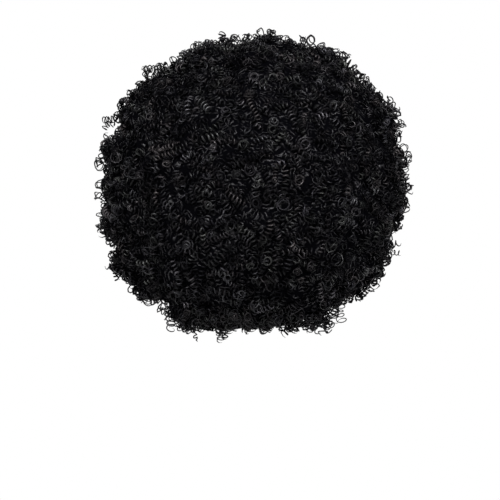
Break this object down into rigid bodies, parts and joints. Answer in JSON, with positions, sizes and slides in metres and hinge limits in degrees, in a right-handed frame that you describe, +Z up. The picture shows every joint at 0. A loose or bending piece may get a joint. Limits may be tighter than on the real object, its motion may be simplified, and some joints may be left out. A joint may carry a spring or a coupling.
{
  "type": "curly wig",
  "caption": "Short, full, round wig of tight black curls: a stretch cap in an elastic edge band, with rows of curl locks sewn round it.",
  "frame": {"origin": "the highest spot of the cap's inside, where the crown of a head carries the wig; nominal, on the smooth egg shape that the facets follow", "axes": "+Z up as worn; -Y towards the front hairline, so +Y is the side in the picture; +X towards the wearer's left"},
  "size_m": [0.2679, 0.2678, 0.2662],
  "materials": {
    "cap_net": "matte black stretch net",
    "edge_elastic": "matte black ribbed elastic",
    "hair": "semi-gloss black synthetic hair fibre in tight coils"
  },
  "bodies": {
    "root": {"cap": "cap_net", "edge_band": "edge_elastic", "crown_whorl": "hair", "weft_1": "hair", "weft_2": "hair", "weft_3": "hair", "weft_4": "hair", "weft_5": "hair", "weft_6": "hair", "weft_7": "hair"}
  },
  "joints": []
}
